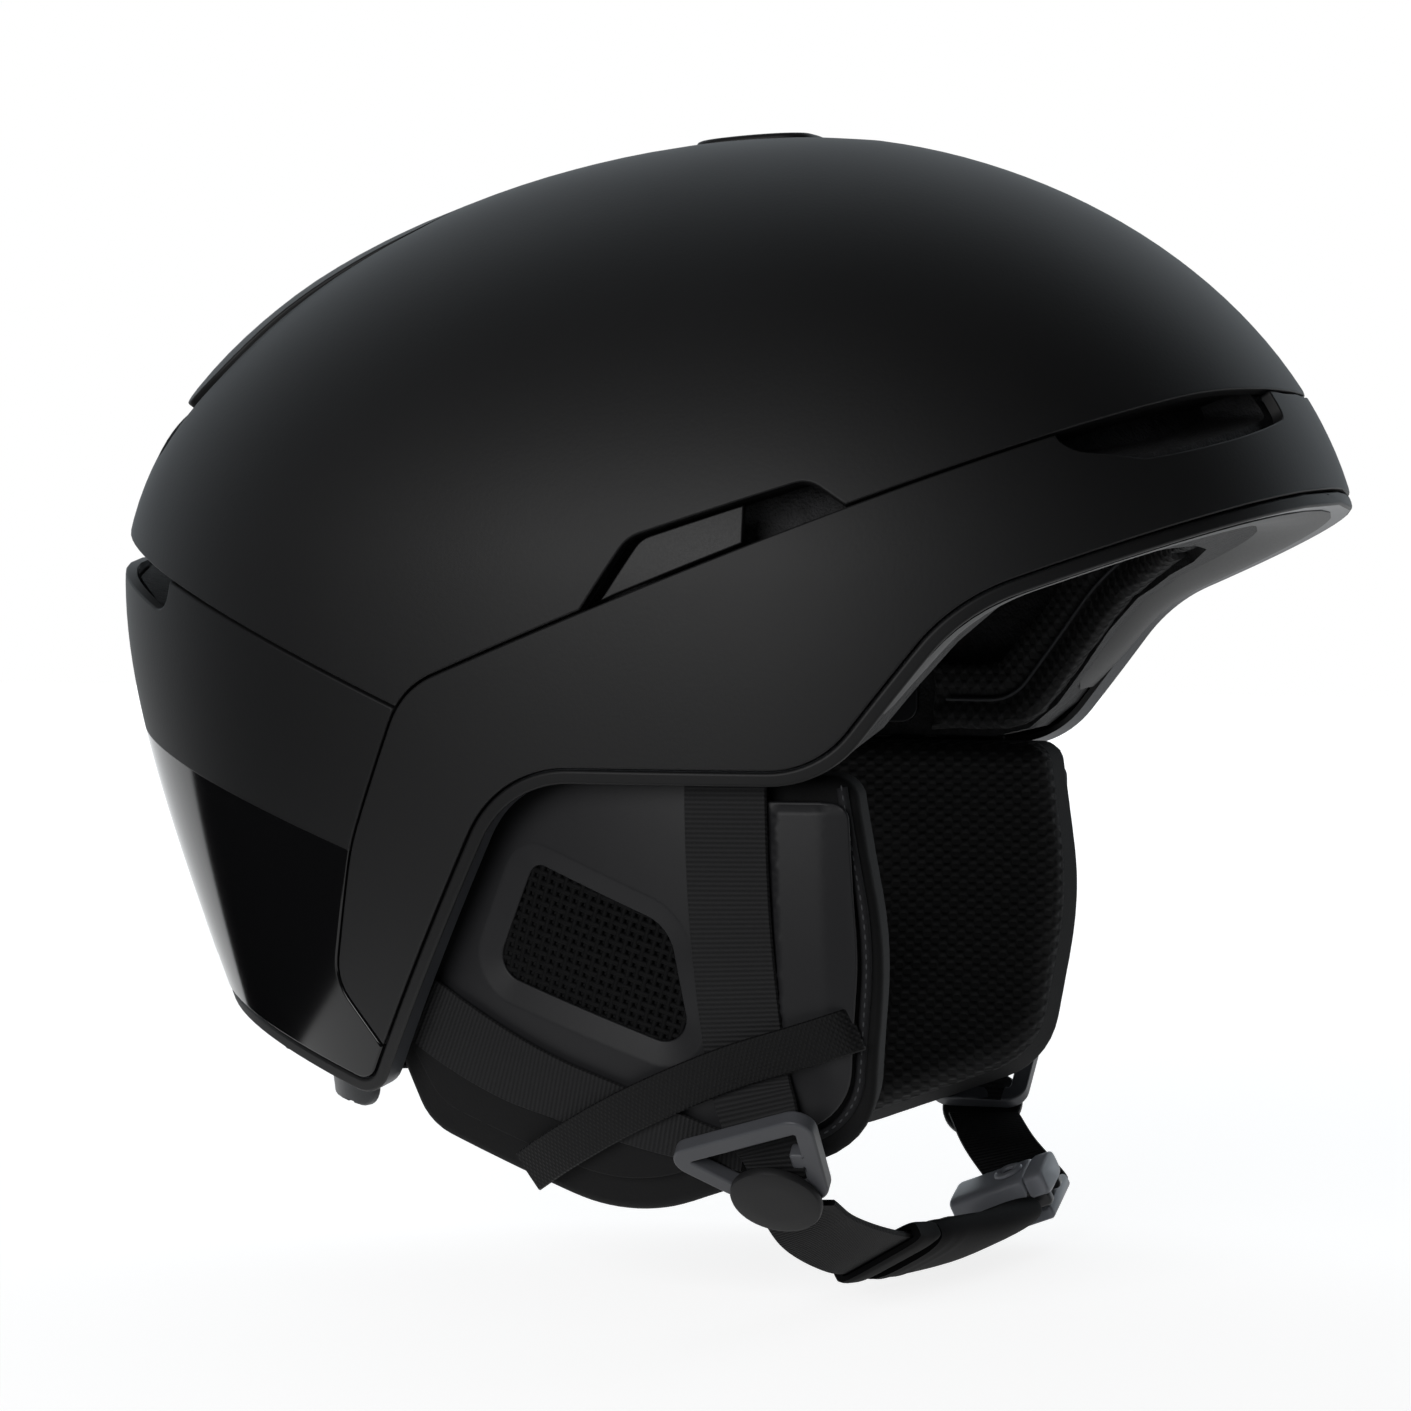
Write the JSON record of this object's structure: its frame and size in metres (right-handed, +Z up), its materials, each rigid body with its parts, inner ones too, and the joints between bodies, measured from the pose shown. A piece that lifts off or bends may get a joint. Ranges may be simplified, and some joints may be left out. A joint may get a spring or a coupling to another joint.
{
  "type": "ski helmet",
  "caption": "Black ski helmet with a panelled hard shell on a foam liner, sliding crown vent, dial fit system, soft ear pads, webbing straps and a sliding chin buckle.",
  "frame": {"origin": "in the middle of the head space, level with the ears, 27 mm under the shell's edge over the ears", "axes": "+Z up, -Y towards the brim and face, +X to the wearer's left"},
  "size_m": [0.22, 0.2843, 0.2606],
  "materials": {
    "matte_shell": "fine matte black paint on the moulded shell",
    "gloss_shell": "black plastic, glossy low down and matte above",
    "soft_trim": "satin dark grey edge trim",
    "liner_foam": "black expanded foam, granular",
    "moulded_plastic": "satin moulded plastic, near black",
    "ear_mesh": "open woven plastic mesh",
    "pad_knit": "coarse brushed knit over foam",
    "webbing": "ribbed black webbing",
    "elastic": "fine braided elastic",
    "keeper_rubber": "smooth black rubber",
    "buckle_plastic": "satin grey moulded plastic",
    "pin_steel": "plain steel pin"
  },
  "bodies": {
    "helmet": {"upper_shell": "matte_shell", "brim_shell": "matte_shell", "spine_cover": "matte_shell", "rear_shell": "gloss_shell", "base_rim": "soft_trim", "eps_liner": "liner_foam", "side_vent_cover_right": "moulded_plastic", "side_vent_cover_left": "moulded_plastic", "fit_band_right": "moulded_plastic", "fit_band_left": "moulded_plastic", "clip_bracket": "moulded_plastic", "ear_plate_right": "moulded_plastic", "ear_plate_left": "moulded_plastic", "front_anchor_right": "moulded_plastic", "front_anchor_left": "moulded_plastic", "rear_anchor_right": "moulded_plastic", "rear_anchor_left": "moulded_plastic", "strap_divider_right": "moulded_plastic", "strap_divider_left": "moulded_plastic", "divider_cap_right": "moulded_plastic", "divider_cap_left": "moulded_plastic", "ear_mesh_right": "ear_mesh", "ear_mesh_left": "ear_mesh", "brow_pad": "pad_knit", "crown_pad": "pad_knit", "side_pad_right": "pad_knit", "side_pad_left": "pad_knit", "ear_cushion_right": "pad_knit", "ear_cushion_left": "pad_knit", "front_strap_right": "webbing", "front_strap_left": "webbing", "rear_strap_right": "webbing", "rear_strap_left": "webbing", "chin_strap_right": "webbing", "chin_strap_left": "webbing", "ear_elastic_right": "elastic", "ear_elastic_left": "elastic", "strap_keeper": "keeper_rubber", "chin_sleeve": "keeper_rubber", "buckle_socket": "buckle_plastic", "clip_pin": "pin_steel"},
    "slider": {"vent_slider": "moulded_plastic", "vent_shutter": "moulded_plastic"},
    "clip": {"goggle_clip": "moulded_plastic"},
    "cradle": {"nape_cradle": "moulded_plastic", "nape_pad": "pad_knit", "dial_housing": "moulded_plastic"},
    "dial": {"fit_dial": "moulded_plastic"},
    "tongue": {"buckle_tongue": "buckle_plastic"}
  },
  "joints": [
    {"name": "vent_slide", "type": "hinge", "parent": "helmet", "child": "slider", "pos_m": [0, -0.0245, -0.03], "axis": [1, 0, 0], "range_deg": [0, 4]},
    {"name": "clip_swing", "type": "hinge", "parent": "helmet", "child": "clip", "pos_m": [0, 0.10953, -0.017], "axis": [-1, 0, 0], "range_deg": [0, 55]},
    {"name": "cradle_slide", "type": "slide", "parent": "helmet", "child": "cradle", "axis": [0, -1, 0], "range_m": [0, 0.01]},
    {"name": "dial_turn", "type": "hinge", "parent": "cradle", "child": "dial", "pos_m": [0, 0.0992, -0.031], "axis": [0, -1, 0], "range_deg": [0, 360]},
    {"name": "tongue_slide", "type": "slide", "parent": "helmet", "child": "tongue", "axis": [-0.0492, -0.9328, 0.3569], "range_m": [0, 0.019]}
  ],
  "couplings": [
    {"joint": "dial_turn", "follows": "cradle_slide", "rad_per_m": 628.3}
  ]
}
